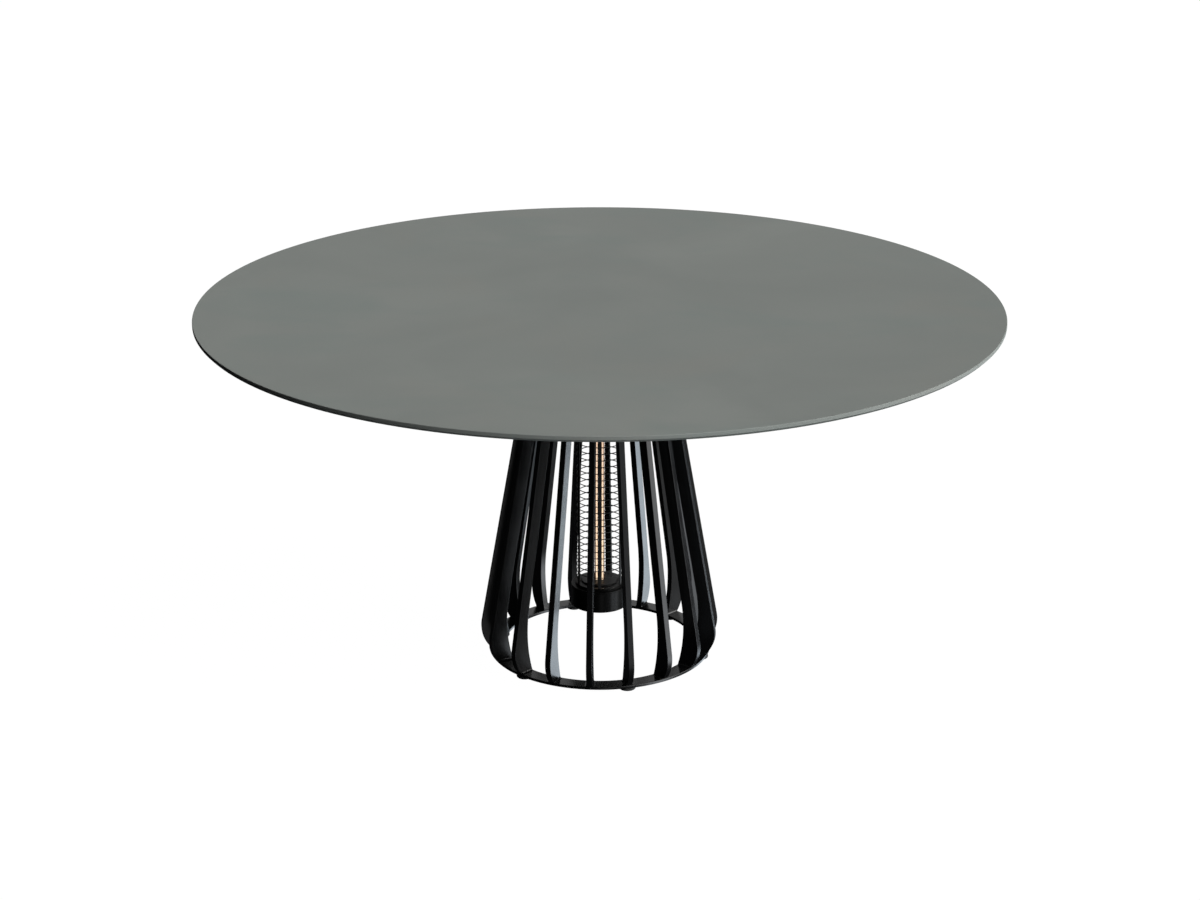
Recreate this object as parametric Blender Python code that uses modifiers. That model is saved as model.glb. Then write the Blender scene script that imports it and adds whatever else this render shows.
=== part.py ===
# Round outdoor dining table on a pedestal of upright fins, with a heater hung inside the pedestal.
# Metres, +Z up. The origin is on the floor, on the axis of the pedestal. The front is -Y.
import math

import bmesh
import bpy
from mathutils import Matrix, Vector

# General
CLEARANCE = 0.0003            # between pieces that touch
MERGE = 0.00001               # points this close are one

# Table top
TABLE_HEIGHT = 0.740
TOP_RADIUS = 0.800
TOP_THICKNESS = 0.012
TOP_EDGE_ROUND = 0.001        # softened upper edge
TOP_UNDERCUT = 0.005          # bevel under the rim
FIXING_PLATE_RADIUS = 0.300
FIXING_PLATE_THICKNESS = 0.006

# Pedestal fins, each a flat plate that stands in a plane through the axis
FIN_COUNT = 18
FIRST_FIN_ANGLE = -5.0        # degrees from the front towards +X
FIN_THICKNESS = 0.012
FIN_WIDTH = 0.025             # level width of the straight part
FIN_LEAN = 10.1               # degrees from upright
KNEE_REACH = 0.2456           # widest distance from the axis
KNEE_HEIGHT = 0.056
KNEE_RADIUS = 0.067
INNER_BEND_HEIGHT = 0.095
INNER_BEND_RADIUS = 0.290

# Rings that the fins are welded to
HEAD_RING_THICKNESS = 0.006
HEAD_RING_MARGIN = 0.010      # beyond the fins, inside and outside
BASE_RING_THICKNESS = 0.006
BASE_RING_LIP = 0.0005        # beyond the fins, inside and outside
BASE_RING_HEIGHT = 0.006      # its underside above the floor

# Screws that hold the head ring to the fixing plate
HEAD_BOLT_COUNT = 6
HEAD_BOLT_RADIUS = 0.004
HEAD_BOLT_CAP_RADIUS = 0.0065
HEAD_BOLT_CAP_HEIGHT = 0.008
RECESS_SHARE = 0.75           # of the shank's radius, for the recess in a screw's head

# Levelling glides, each screwed up into the foot of a fin
FINS_PER_GLIDE = 3
FIRST_GLIDE_FIN = 1
GLIDE_RADIUS = 0.017
GLIDE_EDGE = 0.0015
GLIDE_STUD_RADIUS = 0.003
GLIDE_TRAVEL = 0.008
GLIDE_GRIP = 0.014            # thread still held at full travel

# Heater
HEATER_RADIUS = 0.0585
SHEET = 0.0015                # wall of the pressed housings
HEATER_BOTTOM = 0.0989        # its underside above the floor
FLANGE_THICKNESS = 0.003
FLANGE_MARGIN = 0.012         # room between the flange and the head ring
HEATER_BOLT_COUNT = 4
FIRST_HEATER_BOLT_ANGLE = 45.0
HEATER_BOLT_RADIUS = 0.0025
HEATER_BOLT_CAP_RADIUS = 0.0042
HEATER_BOLT_CAP_HEIGHT = 0.004
TOP_HOUSING_HEIGHT = 0.060
LEAD_HOLE_RADIUS = 0.005
BASE_CUP_HEIGHT = 0.0415
DECK_RIM_THICKNESS = 0.003
DECK_STEP_HEIGHT = 0.005
DECK_STEP_INSET = 0.0085

# Quartz tubes with a heating element in each
TUBE_RADIUS = 0.0045
TUBE_WALL = 0.001
TUBE_SPACING = 0.012          # between the two centre lines
ELEMENT_RADIUS = 0.0022
HOLDER_RIM = 0.004            # ceramic round the tubes
SOCKET_DEPTH = 0.010
SOCKET_FLOOR = 0.008

# Wire guard, wound as one coil inside six upright strips
GUARD_WIRE_RADIUS = 0.0007
GUARD_RADIUS = 0.0467         # centre line of the wire
GUARD_PITCH = 0.01413
GUARD_START_ANGLE = 90.0      # a whole number of points from every upright
GUARD_POINTS_PER_TURN = 12
UPRIGHT_COUNT = 6
UPRIGHT_WIDTH = 0.0062
UPRIGHT_THICKNESS = 0.002

# Parts inside the top housing
TERMINAL_SIZE = (0.040, 0.020, 0.016)
TERMINAL_OFFSET = 0.018
CUTOUT_RADIUS = 0.008
CUTOUT_HEIGHT = 0.008
CUTOUT_OFFSET = 0.024
GLAND_SHANK_RADIUS = 0.008
GLAND_COLLAR_RADIUS = 0.011
GLAND_COLLAR_LENGTH = 0.006
GLAND_DOME_RADIUS = 0.0095
GLAND_DOME_LENGTH = 0.009
GLAND_DOME_TAPER = 0.0028     # how much narrower its mouth is
GLAND_BORE_RADIUS = 0.004
GLAND_INNER_LENGTH = 0.006

# Facets
ARC_STEPS = 8
TOP_STEPS = 96
RING_STEPS = 72
HOUSING_STEPS = 40
SMALL_STEPS = 12
GLIDE_STEPS = 24
SHARP_ANGLE = 35.0            # degrees between faces that keep their edge

# Heights worked out from the sizes above
topUnderside = TABLE_HEIGHT - TOP_THICKNESS
plateTop = topUnderside - CLEARANCE
plateUnderside = plateTop - FIXING_PLATE_THICKNESS
headRingTop = plateUnderside - CLEARANCE
headRingUnderside = headRingTop - HEAD_RING_THICKNESS
finTop = headRingUnderside - CLEARANCE
baseRingTop = BASE_RING_HEIGHT + BASE_RING_THICKNESS
finBottom = baseRingTop + CLEARANCE
flangeTop = plateUnderside - CLEARANCE
flangeUnderside = flangeTop - FLANGE_THICKNESS
housingTop = flangeUnderside - CLEARANCE
housingUnderside = housingTop - TOP_HOUSING_HEIGHT
cupTop = HEATER_BOTTOM + BASE_CUP_HEIGHT
deckUnderside = cupTop + CLEARANCE
deckRimTop = deckUnderside + DECK_RIM_THICKNESS
deckTop = deckRimTop + DECK_STEP_HEIGHT

parts = None
cutters = None


def clear_scene():
    for thing in list(bpy.data.objects):
        bpy.data.objects.remove(thing, do_unlink=True)


def make_collections():
    global parts, cutters
    parts = bpy.data.collections.new("heated_dining_table")
    cutters = bpy.data.collections.new("cutters")
    bpy.context.scene.collection.children.link(parts)
    bpy.context.scene.collection.children.link(cutters)


def make_material(name, colour, roughness, metallic, alpha=1.0, glow=0.0):
    material = bpy.data.materials.new(name)
    material.use_nodes = True
    shader = material.node_tree.nodes["Principled BSDF"]
    shader.inputs["Base Color"].default_value = (*colour, 1.0)
    shader.inputs["Roughness"].default_value = roughness
    shader.inputs["Metallic"].default_value = metallic
    shader.inputs["Alpha"].default_value = alpha
    shader.inputs["Emission Color"].default_value = (*colour, 1.0)
    shader.inputs["Emission Strength"].default_value = glow
    return material


def add_part(name, data, material):
    """Put a mesh or a curve in the parts collection under its own name."""
    part = bpy.data.objects.new(name, data)
    if material.name not in data.materials:
        data.materials.append(material)
    parts.objects.link(part)
    return part


def make_turned(name, profile, steps, material, closed=False):
    """Turn a profile of (radius, height) points about Z. It runs down its outer side, top to bottom."""
    mesh = bpy.data.meshes.new(name)
    edges = [(i, i + 1) for i in range(len(profile) - 1)]
    if closed:
        edges.append((len(profile) - 1, 0))
    mesh.from_pydata([(radius, 0, height) for radius, height in profile], edges, [])
    part = add_part(name, mesh, material)
    screw = part.modifiers.new("turn", "SCREW")
    screw.axis = "Z"
    screw.angle = math.tau
    screw.steps = steps
    screw.render_steps = steps
    screw.use_merge_vertices = True
    screw.merge_threshold = MERGE
    screw.use_smooth_shade = False
    return part


def make_box(name, size, centre, material):
    mesh = bpy.data.meshes.new(name)
    shape = bmesh.new()
    bmesh.ops.create_cube(shape, size=1, matrix=Matrix.Diagonal((*size, 1)))
    shape.to_mesh(mesh)
    shape.free()
    part = add_part(name, mesh, material)
    part.location = centre
    return part


def drill(target, name, radius, start, end, steps=SMALL_STEPS):
    """Cut a round hole through target, from start to end."""
    along = end - start
    mesh = bpy.data.meshes.new(name)
    shape = bmesh.new()
    bmesh.ops.create_cone(shape, cap_ends=True, segments=steps, radius1=radius, radius2=radius,
                          depth=along.length)
    shape.to_mesh(mesh)
    shape.free()
    cutter = bpy.data.objects.new(name, mesh)
    cutter.location = (start + end) / 2
    cutter.rotation_euler = along.to_track_quat("Z", "Y").to_euler()
    cutter.hide_render = True
    cutter.display_type = "WIRE"
    cutters.objects.link(cutter)
    cut = target.modifiers.new(name, "BOOLEAN")
    cut.operation = "DIFFERENCE"
    cut.solver = "EXACT"
    cut.object = cutter


def around(degrees, radius, height):
    """A point at an angle from the front towards +X."""
    angle = math.radians(degrees)
    return Vector((radius * math.sin(angle), -radius * math.cos(angle), height))


def fin_angle(index):
    return FIRST_FIN_ANGLE + index * 360 / FIN_COUNT


def arc(centre, radius, first, last, steps):
    """Points on an arc of (distance, height), with angles in degrees above level."""
    points = []
    for step in range(steps + 1):
        angle = math.radians(first + (last - first) * step / steps)
        points.append((centre[0] + radius * math.cos(angle), centre[1] + radius * math.sin(angle)))
    return points


def outer_edge():
    """Outer edge of a fin from the head ring down to the base ring."""
    centre = (KNEE_REACH - KNEE_RADIUS, KNEE_HEIGHT)
    last = -math.degrees(math.asin((KNEE_HEIGHT - finBottom) / KNEE_RADIUS))
    knee = arc(centre, KNEE_RADIUS, FIN_LEAN, last, ARC_STEPS)
    start = knee[0]
    rise = finTop - start[1]
    top = (start[0] - rise * math.tan(math.radians(FIN_LEAN)), finTop)
    return [top] + knee


def inner_edge():
    """Inner edge of a fin from the head ring down to the base ring."""
    lean = math.radians(FIN_LEAN)
    start = outer_edge()[1]
    level = start[0] + (start[1] - INNER_BEND_HEIGHT) * math.tan(lean) - FIN_WIDTH
    centre = (level - INNER_BEND_RADIUS / math.cos(lean), INNER_BEND_HEIGHT)
    last = -math.degrees(math.asin((INNER_BEND_HEIGHT - finBottom) / INNER_BEND_RADIUS))
    bend = arc(centre, INNER_BEND_RADIUS, FIN_LEAN, last, ARC_STEPS)
    top = (outer_edge()[0][0] - FIN_WIDTH, finTop)
    return [top] + bend


def make_fin_mesh(material):
    """One fin as a mesh: the outline in X (distance from the axis) and Z (height)."""
    curve = bpy.data.curves.new("fin_outline", "CURVE")
    curve.dimensions = "2D"
    curve.fill_mode = "BOTH"
    curve.extrude = FIN_THICKNESS / 2
    outline = outer_edge() + inner_edge()[::-1]
    spline = curve.splines.new("POLY")
    spline.points.add(len(outline) - 1)
    for point, (distance, height) in zip(spline.points, outline):
        point.co = (distance, height, 0, 1)
    spline.use_cyclic_u = True
    guide = bpy.data.objects.new("fin_outline", curve)
    bpy.context.scene.collection.objects.link(guide)
    mesh = bpy.data.meshes.new_from_object(guide.evaluated_get(bpy.context.evaluated_depsgraph_get()))
    mesh.name = "fin"
    bpy.data.objects.remove(guide, do_unlink=True)
    bpy.data.curves.remove(curve)
    shape = bmesh.new()
    shape.from_mesh(mesh)
    bmesh.ops.remove_doubles(shape, verts=shape.verts, dist=MERGE)
    bmesh.ops.rotate(shape, verts=shape.verts, matrix=Matrix.Rotation(math.pi / 2, 3, "X"))
    bmesh.ops.recalc_face_normals(shape, faces=shape.faces)
    shape.to_mesh(mesh)
    shape.free()
    mesh.materials.append(material)
    return mesh


def base_ring_radii():
    return inner_edge()[-1][0] - BASE_RING_LIP, outer_edge()[-1][0] + BASE_RING_LIP


def head_ring_radii():
    return inner_edge()[0][0] - HEAD_RING_MARGIN, outer_edge()[0][0] + HEAD_RING_MARGIN


def glide_fins():
    return list(range(FIRST_GLIDE_FIN, FIN_COUNT, FINS_PER_GLIDE))


def glide_place(index):
    inner, outer = base_ring_radii()
    return around(fin_angle(index), (inner + outer) / 2, 0)


def head_bolt_places():
    """Halfway between two fins, in the middle of the head ring."""
    inner, outer = head_ring_radii()
    fins = [round(index * FIN_COUNT / HEAD_BOLT_COUNT) for index in range(HEAD_BOLT_COUNT)]
    return [around(fin_angle(fin + 0.5), (inner + outer) / 2, 0) for fin in fins]


def flange_radius():
    return head_ring_radii()[0] - FLANGE_MARGIN


def heater_bolt_places():
    """Between the housing's wall and the edge of the flange."""
    middle = (HEATER_RADIUS + flange_radius()) / 2
    turns = [index / HEATER_BOLT_COUNT for index in range(HEATER_BOLT_COUNT)]
    return [around(FIRST_HEATER_BOLT_ANGLE + 360 * turn, middle, 0) for turn in turns]


def make_table_top(material):
    edge = TOP_RADIUS - TOP_EDGE_ROUND
    profile = [(0, TABLE_HEIGHT), (edge, TABLE_HEIGHT)]
    profile.append((TOP_RADIUS, TABLE_HEIGHT - TOP_EDGE_ROUND))
    profile.append((TOP_RADIUS, topUnderside + TOP_UNDERCUT))
    profile.append((TOP_RADIUS - TOP_UNDERCUT, topUnderside))
    profile.append((0, topUnderside))
    make_turned("table_top", profile, TOP_STEPS, material)


def drill_through(target, name, radius, places, underside, top):
    """Cut a hole up through a level plate at each place."""
    thickness = top - underside
    start = Vector((0, 0, underside - thickness))
    end = Vector((0, 0, top + thickness))
    for number, place in enumerate(places, 1):
        drill(target, f"{name}_{number}", radius + CLEARANCE, place + start, place + end)


def make_fixing_plate(material):
    profile = [(0, plateTop), (FIXING_PLATE_RADIUS, plateTop)]
    profile.append((FIXING_PLATE_RADIUS, plateUnderside + FIXING_PLATE_THICKNESS / 2))
    profile.append((FIXING_PLATE_RADIUS - FIXING_PLATE_THICKNESS / 2, plateUnderside))
    profile.append((0, plateUnderside))
    plate = make_turned("fixing_plate", profile, RING_STEPS, material)
    span = (plateUnderside, plateTop)
    drill_through(plate, "plate_head_hole", HEAD_BOLT_RADIUS, head_bolt_places(), *span)
    drill_through(plate, "plate_heater_hole", HEATER_BOLT_RADIUS, heater_bolt_places(), *span)


def make_ring(name, inner, outer, bottom, top, material):
    profile = [(inner, top), (outer, top), (outer, bottom), (inner, bottom)]
    return make_turned(name, profile, RING_STEPS, material, closed=True)


def make_head_ring(material):
    inner, outer = head_ring_radii()
    ring = make_ring("head_ring", inner, outer, headRingUnderside, headRingTop, material)
    drill_through(ring, "head_hole", HEAD_BOLT_RADIUS, head_bolt_places(), headRingUnderside, headRingTop)


def make_base_ring(material):
    inner, outer = base_ring_radii()
    ring = make_ring("base_ring", inner, outer, BASE_RING_HEIGHT, baseRingTop, material)
    places = [glide_place(index) for index in glide_fins()]
    drill_through(ring, "ring_stud_hole", GLIDE_STUD_RADIUS, places, BASE_RING_HEIGHT, baseRingTop)


def make_fins(material):
    """Every fin shares one mesh. Those over a glide are bored for its stud."""
    mesh = make_fin_mesh(material)
    boreTop = Vector((0, 0, finBottom + GLIDE_TRAVEL + GLIDE_GRIP + CLEARANCE))
    for index in range(FIN_COUNT):
        fin = add_part(f"fin_{index + 1:02d}", mesh, material)
        fin.rotation_euler = (0, 0, math.radians(fin_angle(index) - 90))
        if index in glide_fins():
            place = glide_place(index)
            drill(fin, f"fin_bore_{index + 1:02d}", GLIDE_STUD_RADIUS + CLEARANCE, place, place + boreTop)


def make_glides(material):
    studTop = finBottom + GLIDE_TRAVEL + GLIDE_GRIP
    padTop = BASE_RING_HEIGHT - CLEARANCE
    profile = [(0, studTop), (GLIDE_STUD_RADIUS, studTop), (GLIDE_STUD_RADIUS, padTop)]
    profile.append((GLIDE_RADIUS, padTop))
    profile.append((GLIDE_RADIUS, GLIDE_EDGE))
    profile.append((GLIDE_RADIUS - GLIDE_EDGE, 0))
    profile.append((0, 0))
    for number, index in enumerate(glide_fins(), 1):
        glide = make_turned(f"glide_{number}", profile, GLIDE_STEPS, material)
        glide.location = glide_place(index)


def make_bolt(name, place, radius, capRadius, capHeight, seat, tip, material):
    """A cap screw that points up, with its head under the seat and a round recess in it."""
    capBottom = seat - CLEARANCE - capHeight
    recess = capBottom + capHeight / 2
    profile = [(0, tip), (radius, tip), (radius, seat - CLEARANCE)]
    profile.append((capRadius, seat - CLEARANCE))
    profile.append((capRadius, capBottom))
    profile.append((radius * RECESS_SHARE, capBottom))
    profile.append((radius * RECESS_SHARE, recess))
    profile.append((0, recess))
    bolt = make_turned(name, profile, SMALL_STEPS, material)
    bolt.location = place


def make_head_bolts(material):
    for number, place in enumerate(head_bolt_places(), 1):
        make_bolt(f"head_bolt_{number}", place, HEAD_BOLT_RADIUS, HEAD_BOLT_CAP_RADIUS,
                  HEAD_BOLT_CAP_HEIGHT, headRingUnderside, plateTop, material)


def make_heater_bolts(material):
    for number, place in enumerate(heater_bolt_places(), 1):
        make_bolt(f"heater_bolt_{number}", place, HEATER_BOLT_RADIUS, HEATER_BOLT_CAP_RADIUS,
                  HEATER_BOLT_CAP_HEIGHT, flangeUnderside, plateTop, material)


def make_heater_flange(material):
    edge = flange_radius()
    profile = [(0, flangeTop), (edge, flangeTop), (edge, flangeUnderside), (0, flangeUnderside)]
    flange = make_turned("heater_flange", profile, HOUSING_STEPS, material)
    span = (flangeUnderside, flangeTop)
    drill_through(flange, "flange_hole", HEATER_BOLT_RADIUS, heater_bolt_places(), *span)


def gland_height():
    return (housingTop + housingUnderside) / 2


def make_top_housing(material):
    """A pressed cup, open upwards, with a hole in its floor for the leads."""
    wall = HEATER_RADIUS - SHEET
    floorTop = housingUnderside + SHEET
    profile = [(wall, housingTop), (HEATER_RADIUS, housingTop), (HEATER_RADIUS, housingUnderside)]
    profile.append((LEAD_HOLE_RADIUS, housingUnderside))
    profile.append((LEAD_HOLE_RADIUS, floorTop))
    profile.append((wall, floorTop))
    housing = make_turned("heater_top_housing", profile, HOUSING_STEPS, material, closed=True)
    inside = Vector((0, HEATER_RADIUS / 2, gland_height()))
    outside = Vector((0, HEATER_RADIUS * 1.5, gland_height()))
    drill(housing, "gland_hole", GLAND_SHANK_RADIUS + CLEARANCE, inside, outside, HOUSING_STEPS // 2)


def make_terminal_block(material):
    height = housingUnderside + SHEET + CLEARANCE + TERMINAL_SIZE[2] / 2
    make_box("terminal_block", TERMINAL_SIZE, (0, TERMINAL_OFFSET, height), material)


def make_thermal_cutout(material):
    bottom = housingUnderside + SHEET + CLEARANCE
    top = bottom + CUTOUT_HEIGHT
    profile = [(0, top), (CUTOUT_RADIUS, top), (CUTOUT_RADIUS, bottom), (0, bottom)]
    cutout = make_turned("thermal_cutout", profile, SMALL_STEPS, material)
    cutout.location = (0, -CUTOUT_OFFSET, 0)


def make_cable_gland(material):
    """The inlet at the back of the housing, turned about its own bore and laid along +Y."""
    seat = HEATER_RADIUS + CLEARANCE
    collar = seat + GLAND_COLLAR_LENGTH
    dome = collar + GLAND_DOME_LENGTH
    inner = HEATER_RADIUS - SHEET - GLAND_INNER_LENGTH
    profile = [(GLAND_BORE_RADIUS, dome), (GLAND_DOME_RADIUS - GLAND_DOME_TAPER, dome)]
    profile.append((GLAND_DOME_RADIUS, dome - GLAND_DOME_LENGTH / 3))
    profile.append((GLAND_DOME_RADIUS, collar))
    profile.append((GLAND_COLLAR_RADIUS, collar))
    profile.append((GLAND_COLLAR_RADIUS, seat))
    profile.append((GLAND_SHANK_RADIUS, seat))
    profile.append((GLAND_SHANK_RADIUS, inner))
    profile.append((GLAND_BORE_RADIUS, inner))
    gland = make_turned("cable_gland", profile, HOUSING_STEPS // 2, material, closed=True)
    gland.location = (0, 0, gland_height())
    gland.rotation_euler = (-math.pi / 2, 0, 0)


def make_base_cup(material):
    wall = HEATER_RADIUS - SHEET
    floorTop = HEATER_BOTTOM + SHEET
    profile = [(wall, cupTop), (HEATER_RADIUS, cupTop), (HEATER_RADIUS, HEATER_BOTTOM), (0, HEATER_BOTTOM)]
    cup = [(0, floorTop), (wall, floorTop)] + profile
    make_turned("heater_base_cup", cup, HOUSING_STEPS, material)


def tube_places():
    return {"left": -TUBE_SPACING / 2, "right": TUBE_SPACING / 2}


def make_base_deck(material):
    """The stepped lid of the base cup, with a hole for each tube."""
    step = HEATER_RADIUS - DECK_STEP_INSET
    profile = [(0, deckTop), (step, deckTop), (step, deckRimTop), (HEATER_RADIUS, deckRimTop)]
    profile.append((HEATER_RADIUS, deckUnderside))
    profile.append((0, deckUnderside))
    deck = make_turned("heater_base_deck", profile, HOUSING_STEPS, material)
    for side, x in tube_places().items():
        low = Vector((x, 0, deckUnderside - DECK_STEP_HEIGHT))
        high = Vector((x, 0, deckTop + DECK_STEP_HEIGHT))
        drill(deck, f"deck_hole_{side}", TUBE_RADIUS + CLEARANCE, low, high, GLIDE_STEPS)


def holder_size(height):
    return TUBE_SPACING + 2 * (TUBE_RADIUS + HOLDER_RIM), 2 * (TUBE_RADIUS + HOLDER_RIM), height


def make_lamp_holder(name, bottom, top, mouthUp, material):
    """A ceramic block with a socket for each tube, open upwards or downwards."""
    holder = make_box(name, holder_size(top - bottom), (0, 0, (top + bottom) / 2), material)
    for side, x in tube_places().items():
        mouth = top if mouthUp else bottom
        inward = -SOCKET_DEPTH if mouthUp else SOCKET_DEPTH
        start = Vector((x, 0, mouth + inward))
        end = Vector((x, 0, mouth - inward))
        drill(holder, f"{name}_socket_{side}", TUBE_RADIUS + CLEARANCE, start, end, GLIDE_STEPS)


def tube_ends():
    """The tubes stop just short of the floors of their sockets."""
    bottom = deckUnderside - SOCKET_DEPTH
    top = housingUnderside - SOCKET_FLOOR - 2 * CLEARANCE
    return bottom, top


def make_lamp_holders(material):
    cupFloor = HEATER_BOTTOM + SHEET + CLEARANCE
    make_lamp_holder("lower_lamp_holder", cupFloor, deckUnderside - CLEARANCE, True, material)
    top = housingUnderside - CLEARANCE
    make_lamp_holder("upper_lamp_holder", top - SOCKET_FLOOR - SOCKET_DEPTH, top, False, material)


def make_tubes(material):
    bottom, top = tube_ends()
    inner = TUBE_RADIUS - TUBE_WALL
    profile = [(inner, top), (TUBE_RADIUS, top), (TUBE_RADIUS, bottom), (inner, bottom)]
    for side, x in tube_places().items():
        tube = make_turned(f"quartz_tube_{side}", profile, GLIDE_STEPS // 2, material, closed=True)
        tube.location = (x, 0, 0)


def make_elements(material):
    bottom, top = tube_ends()
    profile = [(0, top), (ELEMENT_RADIUS, top), (ELEMENT_RADIUS, bottom), (0, bottom)]
    for side, x in tube_places().items():
        element = make_turned(f"heating_element_{side}", profile, SMALL_STEPS, material)
        element.location = (x, 0, 0)


def make_uprights(material):
    """Flat strips round the coil, clear of its corners, with one at the front."""
    corner = GUARD_WIRE_RADIUS / math.cos(math.pi / GUARD_POINTS_PER_TURN)
    face = GUARD_RADIUS + corner + CLEARANCE
    bottom = deckTop + CLEARANCE
    top = housingUnderside - CLEARANCE
    size = (UPRIGHT_WIDTH, UPRIGHT_THICKNESS, top - bottom)
    for index in range(UPRIGHT_COUNT):
        degrees = index * 360 / UPRIGHT_COUNT
        place = around(degrees, face + UPRIGHT_THICKNESS / 2, (top + bottom) / 2)
        upright = make_box(f"guard_upright_{index + 1}", size, place, material)
        upright.rotation_euler = (0, 0, math.radians(degrees))


def guard_points():
    """The coil's centre line. It climbs to the left, seen from the front."""
    low = deckTop + CLEARANCE + GUARD_WIRE_RADIUS
    high = housingUnderside - CLEARANCE - GUARD_WIRE_RADIUS
    count = int((high - low) / GUARD_PITCH * GUARD_POINTS_PER_TURN)
    points = []
    for step in range(count + 1):
        turns = step / GUARD_POINTS_PER_TURN
        points.append(around(GUARD_START_ANGLE - 360 * turns, GUARD_RADIUS, low + turns * GUARD_PITCH))
    return points


def least_gap(points):
    """Least distance between the surfaces of two turns of the coil."""
    apart = GUARD_POINTS_PER_TURN // 2
    nearest = min((a - b).length for i, a in enumerate(points) for b in points[i + apart:])
    return nearest - 2 * GUARD_WIRE_RADIUS


def make_guard_wire(material):
    points = guard_points()
    curve = bpy.data.curves.new("guard_wire", "CURVE")
    curve.dimensions = "3D"
    curve.bevel_depth = GUARD_WIRE_RADIUS
    curve.bevel_resolution = 1
    curve.use_fill_caps = True
    spline = curve.splines.new("POLY")
    spline.points.add(len(points) - 1)
    for target, point in zip(spline.points, points):
        target.co = (*point, 1)
    add_part("guard_wire", curve, material)
    print(f"guard wire: {len(points)} points, least gap to itself {least_gap(points) * 1000:.2f} mm")


def finish_shading():
    """Apply each part's modifiers, then shade its round faces smooth."""
    graph = bpy.context.evaluated_depsgraph_get()
    for part in parts.objects:
        if part.modifiers:
            name = part.data.name
            part.data = bpy.data.meshes.new_from_object(part.evaluated_get(graph))
            part.data.name = name
            part.modifiers.clear()
            graph.update()
        if part.type == "MESH":
            part.data.shade_smooth()
            part.data.set_sharp_from_angle(angle=math.radians(SHARP_ANGLE))


def main():
    clear_scene()
    make_collections()
    stone = make_material("grey_stone", (0.205, 0.215, 0.205), 0.6, 0.0)
    powderCoat = make_material("black_powder_coat", (0.012, 0.012, 0.013), 0.4, 0.0)
    pad = make_material("black_pad", (0.02, 0.02, 0.02), 0.7, 0.0)
    enamel = make_material("black_enamel", (0.015, 0.015, 0.015), 0.45, 0.0)
    zinc = make_material("zinc_screw", (0.45, 0.45, 0.45), 0.35, 1.0)
    ceramic = make_material("white_ceramic", (0.75, 0.73, 0.68), 0.7, 0.0)
    plastic = make_material("dark_plastic", (0.03, 0.03, 0.03), 0.5, 0.0)
    quartz = make_material("clear_quartz", (0.95, 0.85, 0.75), 0.1, 0.0, alpha=0.35)
    glow = make_material("glowing_element", (1.0, 0.45, 0.15), 0.6, 0.0, glow=6.0)
    make_table_top(stone)
    make_fixing_plate(powderCoat)
    make_head_ring(powderCoat)
    make_fins(powderCoat)
    make_base_ring(powderCoat)
    make_glides(pad)
    make_head_bolts(zinc)
    make_heater_flange(enamel)
    make_heater_bolts(zinc)
    make_top_housing(enamel)
    make_terminal_block(ceramic)
    make_thermal_cutout(plastic)
    make_cable_gland(plastic)
    make_base_cup(enamel)
    make_base_deck(enamel)
    make_lamp_holders(ceramic)
    make_tubes(quartz)
    make_elements(glow)
    make_uprights(enamel)
    make_guard_wire(enamel)
    finish_shading()


main()
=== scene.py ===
# Looks for the round dining table with the heater in its pedestal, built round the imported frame.
# Metres, +Z up, the front is -Y. Angles go round from the front towards +X.
import math

import bmesh
import bpy
from mathutils import Matrix, Vector


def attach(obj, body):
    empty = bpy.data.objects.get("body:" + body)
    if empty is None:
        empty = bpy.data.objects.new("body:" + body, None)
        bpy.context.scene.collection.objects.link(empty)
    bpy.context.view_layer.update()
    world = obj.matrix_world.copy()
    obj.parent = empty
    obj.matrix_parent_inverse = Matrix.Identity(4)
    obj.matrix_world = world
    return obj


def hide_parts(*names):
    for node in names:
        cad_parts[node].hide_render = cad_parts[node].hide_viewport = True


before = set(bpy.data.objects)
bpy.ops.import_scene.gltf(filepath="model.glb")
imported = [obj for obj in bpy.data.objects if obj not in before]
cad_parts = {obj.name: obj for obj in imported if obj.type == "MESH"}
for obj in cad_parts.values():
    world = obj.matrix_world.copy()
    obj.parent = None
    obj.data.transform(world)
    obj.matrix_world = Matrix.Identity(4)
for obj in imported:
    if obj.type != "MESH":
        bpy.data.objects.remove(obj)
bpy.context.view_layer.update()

scene = bpy.context.scene
gap = 0.0003                   # left between pieces that touch
merge = 0.00001                # points this close are one


# Points and outlines

def around(degrees, radius, height):
    turn = math.radians(degrees)
    return Vector((radius * math.sin(turn), -radius * math.cos(turn), height))


def arc(centre, radius, first, last, steps):
    points = []
    for step in range(steps + 1):
        turn = math.radians(first + (last - first) * step / steps)
        points.append((centre[0] + radius * math.cos(turn), centre[1] + radius * math.sin(turn)))
    return points


# Rounds the corners named in radii, {number of the corner: radius}
def softened(outline, radii, steps=3):
    points = []
    count = len(outline)
    for index, corner in enumerate(outline):
        radius = radii.get(index, 0)
        if not radius:
            points.append(tuple(corner))
            continue
        here = Vector(corner)
        before = (Vector(outline[index - 1]) - here).normalized()
        after = (Vector(outline[(index + 1) % count]) - here).normalized()
        half = before.angle(after) / 2
        middle = here + (before + after).normalized() * radius / math.sin(half)
        start = here + before * radius / math.tan(half) - middle
        end = here + after * radius / math.tan(half) - middle
        swing = start.angle_signed(end)
        for step in range(steps + 1):
            spoke = start.copy()
            spoke.rotate(Matrix.Rotation(-swing * step / steps, 2))
            points.append(tuple(middle + spoke))
    return points


def polygon(sides, radius, first=0.0):
    return [tuple(around(first + 360 * side / sides, radius, 0).xy) for side in range(sides)]


# Meshes

def meshFrom(name, build):
    mesh = bpy.data.meshes.new(name)
    shape = bmesh.new()
    build(shape)
    bmesh.ops.remove_doubles(shape, verts=shape.verts, dist=merge)
    bmesh.ops.recalc_face_normals(shape, faces=shape.faces)
    shape.to_mesh(mesh)
    shape.free()
    return mesh


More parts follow.
